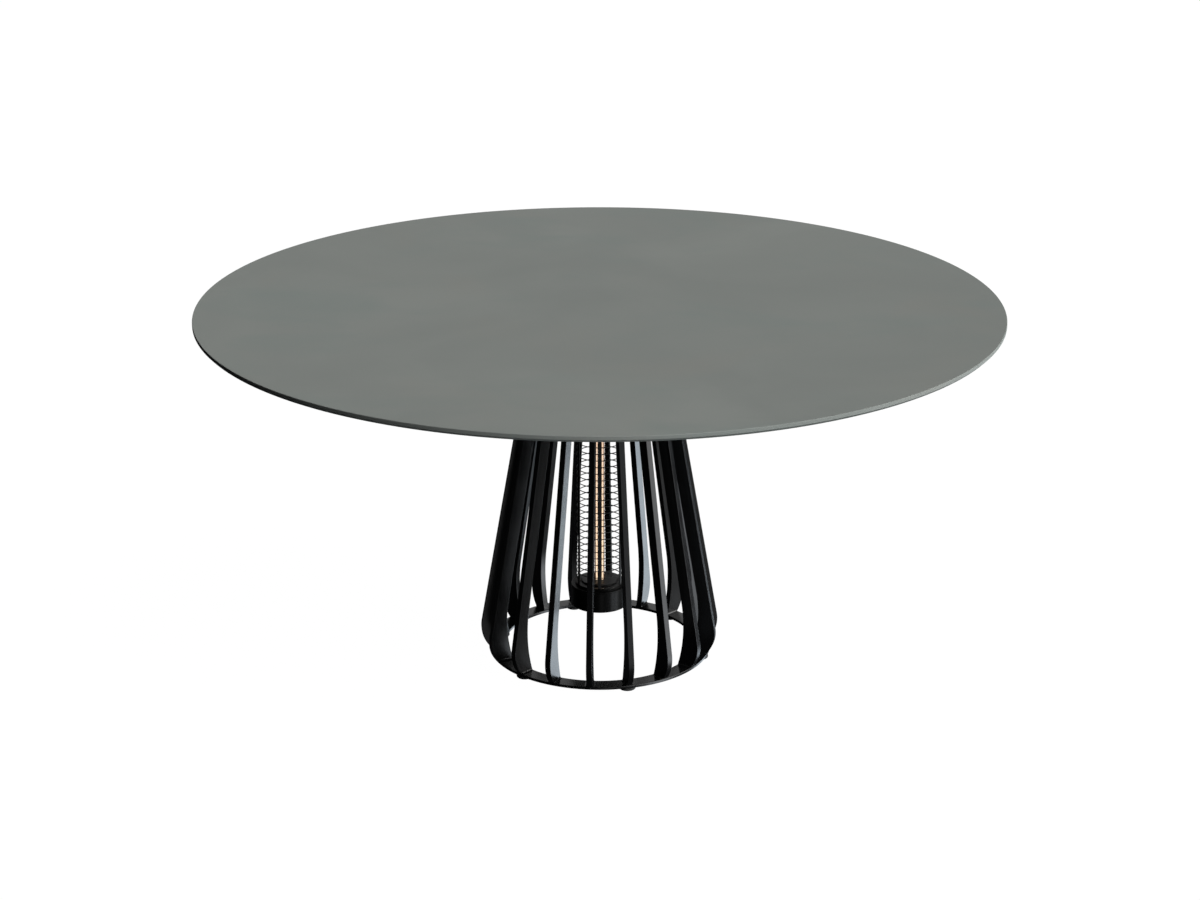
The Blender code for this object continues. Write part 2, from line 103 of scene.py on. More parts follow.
# Turns a profile of (radius, height) points about Z
def turned(name, profile, steps, closed=False):
    def build(shape):
        rings = []
        for radius, height in profile:
            if radius < merge:
                rings.append([shape.verts.new((0, 0, height))] * steps)
                continue
            spots = [around(360 * step / steps, radius, height) for step in range(steps)]
            rings.append([shape.verts.new(spot) for spot in spots])
        pairs = list(zip(rings, rings[1:]))
        if closed:
            pairs.append((rings[-1], rings[0]))
        for upper, lower in pairs:
            for step in range(steps):
                after = (step + 1) % steps
                corners = list(dict.fromkeys([upper[step], upper[after], lower[after], lower[step]]))
                if len(corners) > 2:
                    shape.faces.new(corners)
    return meshFrom(name, build)


# Joins closed outlines of 3D points, one after the other, into a solid with two end faces
def lofted(shape, outlines):
    rings = [[shape.verts.new(point) for point in outline] for outline in outlines]
    count = len(rings[0])
    for lower, upper in zip(rings, rings[1:]):
        for index in range(count):
            after = (index + 1) % count
            shape.faces.new([lower[index], lower[after], upper[after], upper[index]])
    shape.faces.new(rings[0])
    shape.faces.new(rings[-1])


# Lifts a closed outline of (x, y) points into a solid
def raised(name, outline, low, high):
    def build(shape):
        lofted(shape, [[(x, y, height) for x, y in outline] for height in (low, high)])
    return meshFrom(name, build)


def block(name, size, centre):
    x, y, z = (length / 2 for length in size)
    outline = [(centre[0] + x, centre[1] + y), (centre[0] - x, centre[1] + y),
               (centre[0] - x, centre[1] - y), (centre[0] + x, centre[1] - y)]
    return raised(name, outline, centre[2] - z, centre[2] + z)


# A round wire along a line of points
def wireMesh(name, points, radius, roundness):
    curve = bpy.data.curves.new(name, "CURVE")
    curve.dimensions = "3D"
    curve.bevel_depth = radius
    curve.bevel_resolution = roundness
    curve.use_fill_caps = True
    spline = curve.splines.new("POLY")
    spline.points.add(len(points) - 1)
    for target, point in zip(spline.points, points):
        target.co = (*point, 1)
    guide = bpy.data.objects.new(name, curve)
    scene.collection.objects.link(guide)
    bpy.context.view_layer.update()
    graph = bpy.context.evaluated_depsgraph_get()
    mesh = bpy.data.meshes.new_from_object(guide.evaluated_get(graph))
    bpy.data.objects.remove(guide, do_unlink=True)
    bpy.data.curves.remove(curve)
    shape = bmesh.new()
    shape.from_mesh(mesh)
    bmesh.ops.remove_doubles(shape, verts=shape.verts, dist=merge)
    bmesh.ops.recalc_face_normals(shape, faces=shape.faces)
    shape.to_mesh(mesh)
    shape.free()
    return mesh


# Pieces

carriers = {}
tools = []


def newPiece(name, mesh, finish, nodes=(), body="table"):
    piece = bpy.data.objects.new(name, mesh)
    scene.collection.objects.link(piece)
    mesh.materials.clear()
    mesh.materials.append(finish)
    if nodes:
        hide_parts(*nodes)
    carriers[piece] = body
    return piece


def bevelled(piece, width, segments=2, angle=35):
    bevel = piece.modifiers.new("softEdges", "BEVEL")
    bevel.width = width
    bevel.segments = segments
    bevel.limit_method = "ANGLE"
    bevel.angle_limit = math.radians(angle)


def hiddenTool(name, mesh, place=(0, 0, 0), lean=(0, 0, 0)):
    tool = bpy.data.objects.new(name, mesh)
    tool.location = place
    tool.rotation_euler = lean
    scene.collection.objects.link(tool)
    tools.append(tool)
    return tool


def drilled(piece, radius, places, low, high, steps=32):
    mesh = raised("drill", polygon(steps, radius), low, high)
    for place in places:
        carve(piece, hiddenTool("drill", mesh, place))


def carve(piece, tool):
    hole = piece.modifiers.new("hole", "BOOLEAN")
    hole.operation = "DIFFERENCE"
    hole.solver = "EXACT"
    hole.object = tool


# Applies what a piece's modifiers do, with its round faces shaded smooth
def applied(piece, sharp=32):
    piece.data.shade_smooth()
    piece.data.set_sharp_from_angle(angle=math.radians(sharp))
    weighted = piece.modifiers.new("evenShading", "WEIGHTED_NORMAL")
    weighted.keep_sharp = True
    bpy.context.view_layer.update()
    graph = bpy.context.evaluated_depsgraph_get()
    mesh = bpy.data.meshes.new_from_object(piece.evaluated_get(graph))
    mesh.name = piece.name
    piece.modifiers.clear()
    piece.data = mesh
    return mesh


def settlePieces():
    for piece, body in carriers.items():
        if piece.modifiers or not piece.get("settled"):
            applied(piece)
        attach(piece, body)
    for tool in tools:
        bpy.data.objects.remove(tool, do_unlink=True)


# Nodes of a finish

def newFinish(name):
    finish = bpy.data.materials.new(name)
    finish.use_nodes = True
    return finish, finish.node_tree.nodes["Principled BSDF"]


def addNode(finish, kind, **values):
    node = finish.node_tree.nodes.new(kind)
    for key, value in values.items():
        setattr(node, key, value)
    return node


def feed(finish, source, target):
    if hasattr(source, "is_linked"):
        finish.node_tree.links.new(source, target)
    else:
        target.default_value = source


def placeOn(finish, scale=(1, 1, 1), turn=0.0):
    coordinates = addNode(finish, "ShaderNodeTexCoord")
    mapping = addNode(finish, "ShaderNodeMapping")
    mapping.inputs["Scale"].default_value = scale
    mapping.inputs["Rotation"].default_value = (0, 0, math.radians(turn))
    feed(finish, coordinates.outputs["Object"], mapping.inputs["Vector"])
    return mapping.outputs["Vector"]


def noise(finish, where, scale, detail=2.0, roughness=0.5, distortion=0.0):
    cloud = addNode(finish, "ShaderNodeTexNoise")
    feed(finish, where, cloud.inputs["Vector"])
    cloud.inputs["Scale"].default_value = scale
    cloud.inputs["Detail"].default_value = detail
    cloud.inputs["Roughness"].default_value = roughness
    cloud.inputs["Distortion"].default_value = distortion
    return cloud.outputs["Fac"]


def ranged(finish, value, low, high, toLow, toHigh):
    remap = addNode(finish, "ShaderNodeMapRange")
    feed(finish, value, remap.inputs["Value"])
    remap.inputs["From Min"].default_value = low
    remap.inputs["From Max"].default_value = high
    remap.inputs["To Min"].default_value = toLow
    remap.inputs["To Max"].default_value = toHigh
    return remap.outputs["Result"]


def mixed(finish, share, first, second, how="MIX"):
    mix = addNode(finish, "ShaderNodeMix", data_type="RGBA", blend_type=how)
    feed(finish, share, mix.inputs[0])
    feed(finish, first if hasattr(first, "is_linked") else (*first, 1), mix.inputs[6])
    feed(finish, second if hasattr(second, "is_linked") else (*second, 1), mix.inputs[7])
    return mix.outputs[2]


def bumped(finish, height, strength, distance, under=None):
    bump = addNode(finish, "ShaderNodeBump")
    feed(finish, height, bump.inputs["Height"])
    bump.inputs["Strength"].default_value = strength
    bump.inputs["Distance"].default_value = distance
    if under:
        feed(finish, under, bump.inputs["Normal"])
    return bump.outputs["Normal"]


# Finishes

stone = {
    "light": (0.218, 0.235, 0.221),
    "dark": (0.190, 0.207, 0.195),
    "teal": (0.178, 0.210, 0.198),
    "warm": (0.220, 0.221, 0.202),
    "cloudScale": 2.2,
    "grainScale": 420,
    "grainTint": (0.16, 0.17, 0.162),
    "roughness": (0.62, 0.74),
    "shine": 0.3,
}


def makeStone():
    finish, shader = newFinish("cloudyStone")
    flat = placeOn(finish)
    cloud = noise(finish, flat, stone["cloudScale"], 5, 0.55, 0.8)
    colour = mixed(finish, ranged(finish, cloud, 0.35, 0.68, 0, 1), stone["dark"], stone["light"])
    tealPatch = noise(finish, placeOn(finish, (1, 1.4, 1), 25), 3.4, 3, 0.5, 0.4)
    colour = mixed(finish, ranged(finish, tealPatch, 0.52, 0.72, 0, 0.55), colour, stone["teal"])
    warmPatch = noise(finish, placeOn(finish, (1.3, 1, 1), -40), 2.7, 3, 0.5, 0.5)
    colour = mixed(finish, ranged(finish, warmPatch, 0.55, 0.75, 0, 0.4), colour, stone["warm"])
    # a few faint trowel marks
    streak = noise(finish, placeOn(finish, (2.2, 16, 1), 28), 1.8, 6, 0.6, 0.7)
    colour = mixed(finish, ranged(finish, streak, 0.62, 0.74, 0, 0.3), colour, stone["dark"])
    grain = noise(finish, flat, stone["grainScale"], 3, 0.6)
    colour = mixed(finish, ranged(finish, grain, 0.3, 0.7, 0, 0.16), colour, stone["grainTint"])
    feed(finish, colour, shader.inputs["Base Color"])
    feed(finish, ranged(finish, cloud, 0.3, 0.7, *stone["roughness"]), shader.inputs["Roughness"])
    shader.inputs["Specular IOR Level"].default_value = stone["shine"]
    soft = bumped(finish, cloud, 0.12, 0.002)
    feed(finish, bumped(finish, grain, 0.25, 0.0002, soft), shader.inputs["Normal"])
    return finish


# Sprayed, plated and moulded finishes
powder = {"name": "blackPowderCoat", "dark": (0.0024, 0.0024, 0.0026), "light": (0.0042, 0.0042, 0.0045),
          "roughness": (0.2, 0.27), "peelScale": 900, "peel": 0.04}
enamel = {"name": "blackEnamel", "dark": (0.002, 0.002, 0.002), "light": (0.004, 0.004, 0.0038),
          "roughness": (0.24, 0.32), "peelScale": 500, "peel": 0.05, "shine": 0.14}
scorched = {"name": "scorchedEnamel", "dark": (0.002, 0.0019, 0.0018), "light": (0.004, 0.0038, 0.0036),
            "roughness": (0.55, 0.7), "peelScale": 900, "peel": 0.1}
# dark red painted glow from the coils, on the sleeves behind them
backing = {"name": "glowTintedLampBacking", "dark": (0.006, 0.002, 0.0015), "light": (0.012, 0.004, 0.003),
           "roughness": (0.6, 0.75), "peelScale": 700, "peel": 0.1}
rubber = {"name": "blackPad", "dark": (0.012, 0.012, 0.012), "light": (0.02, 0.02, 0.02),
          "roughness": (0.62, 0.75), "peelScale": 1400, "peel": 0.3}
plastic = {"name": "mouldedPlastic", "dark": (0.022, 0.022, 0.023), "light": (0.03, 0.03, 0.031),
           "roughness": (0.45, 0.55), "peelScale": 1200, "peel": 0.25}
zinc = {"name": "zincPlate", "dark": (0.38, 0.39, 0.40), "light": (0.52, 0.52, 0.50),
        "roughness": (0.28, 0.42), "peelScale": 900, "peel": 0.12, "metallic": 1.0}
ceramic = {"name": "whiteCeramic", "dark": (0.66, 0.63, 0.57), "light": (0.78, 0.76, 0.71),
           "roughness": (0.6, 0.75), "peelScale": 1100, "peel": 0.35}


# Even colour with fine speckle, and a skin like fine orange peel
def makeSprayed(look):
    finish, shader = newFinish(look["name"])
    flat = placeOn(finish)
    speckle = noise(finish, flat, 1800, 2, 0.6)
    drift = noise(finish, flat, 14, 3, 0.5)
    colour = mixed(finish, ranged(finish, speckle, 0.35, 0.65, 0, 1), look["dark"], look["light"])
    colour = mixed(finish, ranged(finish, drift, 0.35, 0.7, 0, 0.35), colour, look["light"])
    feed(finish, colour, shader.inputs["Base Color"])
    feed(finish, ranged(finish, drift, 0.3, 0.7, *look["roughness"]), shader.inputs["Roughness"])
    shader.inputs["Metallic"].default_value = look.get("metallic", 0.0)
    shader.inputs["Specular IOR Level"].default_value = look.get("shine", 0.5)
    skin = noise(finish, flat, look["peelScale"], 2, 0.5)
    feed(finish, bumped(finish, skin, look["peel"], 0.0002), shader.inputs["Normal"])
    return finish


glow = {
    "coilLow": (1.0, 0.86, 0.66),
    "coilHigh": (1.0, 0.80, 0.68),
    "coilSpot": (1.0, 0.55, 0.2),
    "coilStrength": (1.05, 0.8),
    "tubeTint": (1.0, 0.93, 0.87),
    "tubeHaze": (1.0, 0.8, 0.62),
    # painted glow of the quartz glass itself: orange emission standing in for the coil's light scattered in
    # the tube
    "tubePaintedGlowLow": (1.0, 0.30, 0.06),
    "tubePaintedGlowHigh": (1.0, 0.30, 0.10),
    "tubePaintedGlowStrength": (0.01, 0.005),
    "span": (0.145, 0.62),     # heights the glow changes between
}


def heightOf(finish):
    coordinates = addNode(finish, "ShaderNodeTexCoord")
    split = addNode(finish, "ShaderNodeSeparateXYZ")
    feed(finish, coordinates.outputs["Object"], split.inputs["Vector"])
    return split.outputs["Z"]


def makeGlowingCoil():
    finish, shader = newFinish("glowingCoil")
    rise = ranged(finish, heightOf(finish), *glow["span"], 0, 1)
    patch = noise(finish, placeOn(finish), 60, 2, 0.5)
    tint = mixed(finish, rise, glow["coilLow"], glow["coilHigh"])
    tint = mixed(finish, ranged(finish, patch, 0.4, 0.7, 0, 0.25), tint, glow["coilSpot"])
    feed(finish, tint, shader.inputs["Base Color"])
    feed(finish, tint, shader.inputs["Emission Color"])
    feed(finish, ranged(finish, rise, 0, 1, *glow["coilStrength"]), shader.inputs["Emission Strength"])
    feed(finish, ranged(finish, patch, 0, 1, 0.4, 0.6), shader.inputs["Roughness"])
    return finish


def makeQuartz():
    finish, shader = newFinish("clearQuartz")
    rise = ranged(finish, heightOf(finish), *glow["span"], 0, 1)
    ripple = noise(finish, placeOn(finish, (1, 1, 0.1)), 300, 2, 0.5)
    haze = noise(finish, placeOn(finish), 40, 2, 0.5)
    colour = mixed(finish, ranged(finish, haze, 0.3, 0.7, 0, 0.3), glow["tubeTint"], glow["tubeHaze"])
    feed(finish, colour, shader.inputs["Base Color"])
    # the clear glass carries a faint orange painted glow, stronger low down, in place of light scattered from
    # the coil
    feed(finish, mixed(finish, rise, glow["tubePaintedGlowLow"], glow["tubePaintedGlowHigh"]), shader.inputs["Emission Color"])
    feed(finish, ranged(finish, rise, 0, 1, *glow["tubePaintedGlowStrength"]), shader.inputs["Emission Strength"])
    feed(finish, ranged(finish, haze, 0.3, 0.7, 0.03, 0.10), shader.inputs["Roughness"])
    shader.inputs["Transmission Weight"].default_value = 1.0
    shader.inputs["IOR"].default_value = 1.45
    feed(finish, bumped(finish, ripple, 0.1, 0.0001), shader.inputs["Normal"])
    return finish


stoneFinish = makeStone()
powderFinish = makeSprayed(powder)
enamelFinish = makeSprayed(enamel)
scorchedFinish = makeSprayed(scorched)
glowTintedSleeveFinish = makeSprayed(backing)
rubberFinish = makeSprayed(rubber)
plasticFinish = makeSprayed(plastic)
zincFinish = makeSprayed(zinc)
ceramicFinish = makeSprayed(ceramic)
coilFinish = makeGlowingCoil()
quartzFinish = makeQuartz()
print("finishes made")


# Camera and light

shot = {"place": (0, -4.748, 2.111), "tilt": 70.537, "lens": 74.565, "sensor": 36, "shift": 0.0003}


def makeCamera():
    camera = bpy.data.cameras.new("shotCamera")
    camera.lens = shot["lens"]
    camera.sensor_width = shot["sensor"]
    camera.shift_x = shot["shift"]
    holder = bpy.data.objects.new("shotCamera", camera)
    holder.location = shot["place"]
    holder.rotation_euler = (math.radians(shot["tilt"]), 0, 0)
    scene.collection.objects.link(holder)
    scene.camera = holder


# Soft patches of light round the set: where each is, how wide its edge is, and how bright it is
studio = {
    "base": (0.010, 0.010, 0.011),
    "patches": [
        {"towards": (0.78, -0.28, 0.56), "edge": (0.7, 0.98), "light": (5.25, 5.2, 5.15)},  # large soft box
        {"towards": (0.72, 0.57, -0.4), "edge": (0.96, 0.99), "light": (2.7, 3.05, 3.35)},  # cool, behind
        {"towards": (0.86, -0.42, -0.33), "edge": (0.95, 0.99), "light": (3.3, 3.5, 3.7)},  # low on the right
        {"towards": (0.16, -0.93, -0.33), "edge": (0.98, 1.0), "light": (0.7, 0.7, 0.7)},   # low in front
        {"towards": (0.72, -0.69, -0.05), "edge": (0.85, 0.97), "light": (0.55, 0.57, 0.6)},  # front fill
        {"towards": (0.93, -0.12, -0.33), "edge": (0.87, 1.0), "light": (0.3, 0.3, 0.3)},   # right fill
        {"towards": (0, 1, 0.35), "edge": (0.88, 0.99), "light": (0.6, 0.6, 0.6)},          # back haze
    ],
    "backdrop": 1.0,
}


def makeStudio():
    world = bpy.data.worlds.new("studio")
    world.use_nodes = True
    scene.world = world
    tree = world.node_tree
    tree.nodes.clear()
    coordinates = tree.nodes.new("ShaderNodeTexCoord")
    total = None
    for patch in studio["patches"]:
        facing = tree.nodes.new("ShaderNodeVectorMath")
        facing.operation = "DOT_PRODUCT"
        facing.inputs[1].default_value = Vector(patch["towards"]).normalized()
        tree.links.new(coordinates.outputs["Generated"], facing.inputs[0])
        fade = tree.nodes.new("ShaderNodeMapRange")
        fade.interpolation_type = "SMOOTHSTEP"
        fade.inputs["From Min"].default_value = patch["edge"][0]
        fade.inputs["From Max"].default_value = patch["edge"][1]
        tree.links.new(facing.outputs["Value"], fade.inputs["Value"])
        tint = tree.nodes.new("ShaderNodeVectorMath")
        tint.operation = "SCALE"
        tint.inputs[0].default_value = patch["light"]
        tree.links.new(fade.outputs["Result"], tint.inputs["Scale"])
        add = tree.nodes.new("ShaderNodeVectorMath")
        add.inputs[0].default_value = studio["base"]
        if total:
            tree.links.new(total, add.inputs[0])
        tree.links.new(tint.outputs["Vector"], add.inputs[1])
        total = add.outputs["Vector"]
    light = tree.nodes.new("ShaderNodeBackground")
    tree.links.new(total, light.inputs["Color"])
    backdrop = tree.nodes.new("ShaderNodeBackground")
    backdrop.inputs["Color"].default_value = (1, 1, 1, 1)
    backdrop.inputs["Strength"].default_value = studio["backdrop"]
    path = tree.nodes.new("ShaderNodeLightPath")
    either = tree.nodes.new("ShaderNodeMixShader")
    tree.links.new(path.outputs["Is Camera Ray"], either.inputs["Fac"])
    tree.links.new(light.outputs["Background"], either.inputs[1])
    tree.links.new(backdrop.outputs["Background"], either.inputs[2])
    output = tree.nodes.new("ShaderNodeOutputWorld")
    tree.links.new(either.outputs["Shader"], output.inputs["Surface"])
    scene.view_settings.view_transform = "Standard"


# The ground lies low enough for the feet to stay in sight when they are screwed out
ground = {"size": 60.0, "height": -0.0085, "white": (1.0, 1.0, 1.0), "shaded": (0.992, 0.992, 0.992),
          "base": (0.02, 0.02, 0.02, 1), "strength": 1.0, "roughness": 0.9}


def makeGround():
    half = ground["size"] / 2
    mesh = bpy.data.meshes.new("ground")
    corners = [(-half, -half, 0), (half, -half, 0), (half, half, 0), (-half, half, 0)]
    mesh.from_pydata(corners, [], [(0, 1, 2, 3)])
    floor = bpy.data.objects.new("ground", mesh)
    floor.location.z = ground["height"]
    scene.collection.objects.link(floor)
    finish, shader = newFinish("paleGround")
    shade = noise(finish, placeOn(finish), 0.3)
    pale = mixed(finish, ranged(finish, shade, 0, 1, 0, 0.5), ground["white"], ground["shaded"])
    shader.inputs["Base Color"].default_value = ground["base"]
    feed(finish, pale, shader.inputs["Emission Color"])
    shader.inputs["Emission Strength"].default_value = ground["strength"]
    shader.inputs["Roughness"].default_value = ground["roughness"]
    shader.inputs["Specular IOR Level"].default_value = 0.0
    mesh.materials.append(finish)
    # it shows behind the table but doesn't colour it
    floor.visible_glossy = False
    floor.visible_diffuse = False
    floor.visible_shadow = False


makeCamera()
makeStudio()
makeGround()
print("camera, light and ground made")


# Table top

slab = {"radius": 0.800, "high": 0.740, "low": 0.728, "undercut": 0.005,
        "softTop": 0.0012, "softSide": 0.001, "steps": 288}


def makeTableTop():
    edge = slab["radius"]
    outline = [(0, slab["high"]), (edge, slab["high"]), (edge, slab["low"] + slab["undercut"]),
               (edge - slab["undercut"], slab["low"]), (0, slab["low"])]
    outline = softened(outline, {1: slab["softTop"], 2: slab["softSide"], 3: slab["softSide"]}, 4)
    mesh = turned("stone_top", outline, slab["steps"])
    newPiece("stone_top", mesh, stoneFinish, ["table_top"])


makeTableTop()
print("table top made")


# Pedestal

fins = {
    "count": 18, "first": -5.0, "thickness": 0.012, "width": 0.025, "high": 0.7151, "low": 0.0123,
    "lean": 10.1, "kneeCentre": (0.1786, 0.056), "kneeRadius": 0.067, "bendHeight": 0.095,
    "bendRadius": 0.290, "arcSteps": 24, "softEdge": 0.0008, "perGlide": 3, "firstGlide": 1,
}
# Each ring: inner radius, outer radius, low, high
rings = {"base": (0.1976, 0.2299, 0.006, 0.012), "head": (0.0942, 0.1392, 0.7154, 0.7214),
         "softEdge": 0.0012, "steps": 180}
plate = {"radius": 0.300, "low": 0.7217, "high": 0.7277, "chamfer": 0.003}
welds = {"foot": 0.0045, "head": 0.003, "footMargin": 0.001, "headMargin": 0.0105, "taper": 0.0025,
         "endShare": 0.25, "steps": 6}
screws = {
    "head": {"count": 6, "first": 5.0, "radius": 0.1167, "shank": 0.004, "cap": 0.0065,
             "capHeight": 0.008, "seat": 0.7154, "tip": 0.7277, "socket": 0.0035, "drill": (0.70, 0.73)},
    "heater": {"count": 4, "first": 45.0, "radius": 0.07035, "shank": 0.0025, "cap": 0.0042,
               "capHeight": 0.004, "seat": 0.7184, "tip": 0.7277, "socket": 0.0022, "drill": (0.71, 0.73)},
    "turn": 23,                # each head stands turned by this much more than the last
}
glides = {"radius": 0.017, "edge": 0.0015, "stud": 0.003, "studTop": 0.0343, "padTop": 0.0057,
          "collar": 0.0055, "place": 0.21374, "pitch": 0.001, "threadDepth": 0.0004, "bore": 0.0033,
          "boreTop": 0.0346, "ringDrillTop": 0.02, "steps": 64}


def finAngle(index):
    return fins["first"] + index * 360 / fins["count"]


def glideFins():
    return list(range(fins["firstGlide"], fins["count"], fins["perGlide"]))


def finOutline():
    lean = math.radians(fins["lean"])
    centre = fins["kneeCentre"]
    last = -math.degrees(math.asin((centre[1] - fins["low"]) / fins["kneeRadius"]))
    outer = arc(centre, fins["kneeRadius"], fins["lean"], last, fins["arcSteps"])
    start = outer[0]
    reach = start[0] - (fins["high"] - start[1]) * math.tan(lean)
    level = start[0] + (start[1] - fins["bendHeight"]) * math.tan(lean) - fins["width"]
    bend = (level - fins["bendRadius"] / math.cos(lean), fins["bendHeight"])
    last = -math.degrees(math.asin((fins["bendHeight"] - fins["low"]) / fins["bendRadius"]))
    inner = arc(bend, fins["bendRadius"], fins["lean"], last, fins["arcSteps"])
    return [(reach, fins["high"])] + outer + inner[::-1] + [(reach - fins["width"], fins["high"])]


# A fin stands in the XZ plane, its outer edge towards +X
def finMesh(name):
    half = fins["thickness"] / 2
    outline = finOutline()

    def build(shape):
        lofted(shape, [[(x, side, z) for x, z in outline] for side in (-half, half)])
    return meshFrom(name, build)


def makeFins():
    plain = bpy.data.objects.new("fin", finMesh("fin"))
    bored = bpy.data.objects.new("boredFin", finMesh("boredFin"))
    shapes = []
    for master in (plain, bored):
        scene.collection.objects.link(master)
        bevelled(master, fins["softEdge"], 3)
    drilled(bored, glides["bore"], [(glides["place"], 0, 0)], 0, glides["boreTop"], 24)
    for master in (plain, bored):
        shapes.append(applied(master))
        bpy.data.objects.remove(master, do_unlink=True)
    for index in range(fins["count"]):
        mesh = shapes[1] if index in glideFins() else shapes[0]
        name = f"pedestal_fin_{index + 1:02d}"
        fin = newPiece(name, mesh, powderFinish, [f"fin_{index + 1:02d}"])
        fin.rotation_euler = (0, 0, math.radians(finAngle(index) - 90))
        fin["settled"] = True


# Hollow-curved weld beads down both sides of every fin, where it meets a ring
def weldMesh(name, size, inner, outer, face, upward):
    sign = 1 if upward else -1
    hollow = arc((size, size), size, -90, -180, welds["steps"])
    sink = 2 * gap
    outline = [(-sink, -sink), (size, -sink)] + hollow + [(-sink, size)]
    half = fins["thickness"] / 2
    stations = [(inner, welds["endShare"]), (inner + welds["taper"], 1), (outer - welds["taper"], 1),
                (outer, welds["endShare"])]

    def build(shape):
        for index in range(fins["count"]):
            turn = Matrix.Rotation(math.radians(finAngle(index) - 90), 3, "Z")
            for side in (-1, 1):
                loops = []
                for reach, share in stations:
                    loop = []
                    for across, rise in outline:
                        spot = Vector((reach, side * (half + across * share), face + sign * rise * share))
                        loop.append(turn @ spot)
                    loops.append(loop)
                lofted(shape, loops)
    return meshFrom(name, build)


def makeWelds():
    inner, outer, low, high = rings["base"]
    margin = welds["footMargin"]
    mesh = weldMesh("foot_welds", welds["foot"], inner + margin, outer - margin, high, True)
    newPiece("foot_welds", mesh, powderFinish)
    inner, outer, low, high = rings["head"]
    margin = welds["headMargin"]
    mesh = weldMesh("head_welds", welds["head"], inner + margin, outer - margin, low, False)
    newPiece("head_welds", mesh, powderFinish)


def ringMesh(name, inner, outer, low, high, soft, steps):
    outline = [(inner, high), (outer, high), (outer, low), (inner, low)]
    return turned(name, softened(outline, dict.fromkeys(range(4), soft)), steps, closed=True)


def screwPlaces(kind):
    plan = screws[kind]
    count = plan["count"]
    return [around(plan["first"] + 360 * number / count, plan["radius"], 0) for number in range(count)]


def makeRings():
    glidePlaces = [around(finAngle(index), glides["place"], 0) for index in glideFins()]
    base = ringMesh("foot_ring", *rings["base"], rings["softEdge"], rings["steps"])
    piece = newPiece("foot_ring", base, powderFinish, ["base_ring"])
    drilled(piece, glides["bore"], glidePlaces, 0, glides["ringDrillTop"], 24)
    head = ringMesh("top_ring", *rings["head"], rings["softEdge"], rings["steps"])
    piece = newPiece("top_ring", head, powderFinish, ["head_ring"])
    drilled(piece, screws["head"]["shank"] + gap, screwPlaces("head"), *screws["head"]["drill"])


def makePlate():
    edge = plate["radius"]
    outline = [(0, plate["high"]), (edge, plate["high"]), (edge, plate["low"] + plate["chamfer"]),
               (edge - plate["chamfer"], plate["low"]), (0, plate["low"])]
    outline = softened(outline, {1: 0.0008, 2: 0.0008, 3: 0.0008})
    mesh = turned("bonded_plate", outline, rings["steps"])
    newPiece("bonded_plate", mesh, powderFinish, ["fixing_plate"])


# A cap screw that points up, with a six-sided socket in its head
def makeScrews(kind, name, nodeName):
    plan = screws[kind]
    seat = plan["seat"] - gap
    low = seat - plan["capHeight"]
    outline = [(0, plan["tip"]), (plan["shank"], plan["tip"]), (plan["shank"], seat), (plan["cap"], seat),
               (plan["cap"], low), (0, low)]
    outline = softened(outline, {3: plan["cap"] * 0.06, 4: plan["cap"] * 0.14})
    master = bpy.data.objects.new(name, turned(name, outline, 32))
    scene.collection.objects.link(master)
    socket = raised("socket", polygon(6, plan["socket"]), low - 0.001, low + plan["capHeight"] / 2)
    carve(master, hiddenTool("socket", socket))
    mesh = applied(master)
    bpy.data.objects.remove(master, do_unlink=True)
    for number, place in enumerate(screwPlaces(kind), 1):
        screw = newPiece(f"{name}_{number}", mesh, zincFinish, [f"{nodeName}_{number}"])
        screw.location = place
        screw.rotation_euler = (0, 0, math.radians(number * screws["turn"]))
        screw["settled"] = True


def makeGlides():
    edge = glides["radius"]
    top = glides["studTop"]
    low = glides["padTop"]
    root = glides["stud"] - glides["threadDepth"]
    outline = [(0, top), (glides["stud"] - 0.0008, top), (root, top - 0.0005)]
    height = top - 0.001
    while height > low + 2 * glides["pitch"]:
        outline.append((glides["stud"], height))
        outline.append((root, height - glides["pitch"] / 2))
        height -= glides["pitch"]
    outline.append((root, low + 0.0004))
    collar = len(outline)
    outline += [(glides["collar"], low), (edge, low), (edge, glides["edge"]),
                (edge - glides["edge"], 0), (0, 0)]
    outline = softened(outline, {collar + 1: 0.001, collar + 2: 0.0006, collar + 3: 0.0005})
    mesh = turned("glide", outline, glides["steps"])
    for number, index in enumerate(glideFins(), 1):
        glide = newPiece(f"foot_glide_{number}", mesh.copy(), rubberFinish, [f"glide_{number}"],
                         f"glide_{number}_body")
        glide.location = around(finAngle(index), glides["place"], 0)


makeFins()
makeWelds()
makeRings()
makePlate()
makeScrews("head", "plate_screw", "head_bolt")
makeScrews("heater", "flange_screw", "heater_bolt")
makeGlides()
print("pedestal made")


# Heater

heater = {
    "radius": 0.0585, "sheet": 0.0015, "low": 0.0989, "cupTop": 0.1404, "cupSoft": 0.0025,
    "flange": (0.0822, 0.7184, 0.7214), "housing": (0.6581, 0.7181), "leadHole": 0.005,
    "deckLow": 0.1407, "deckRim": 0.1437, "deckTop": 0.1487, "deckStep": 0.050,
    "discTop": 0.1517, "disc": 0.0375, "steps": 128,
}
gland = {"height": 0.6881, "shank": 0.008, "collar": 0.011, "collarLength": 0.006, "dome": 0.0095,
         "domeLength": 0.009, "mouth": 0.0067, "bore": 0.004, "inner": 0.051}
tubes = {"radius": 0.0045, "wall": 0.001, "offset": 0.006, "low": 0.1307, "high": 0.6495,
         "drill": (0.13, 0.16)}
coils = {"radius": 0.0015, "wire": 0.00035, "pitch": 0.0011, "pointsPerTurn": 9, "low": 0.1330,
         "high": 0.6470}
backings = {"inner": 0.0030, "outer": 0.0033, "spread": 115, "steps": 20, "low": 0.1320,
            "high": 0.6480}
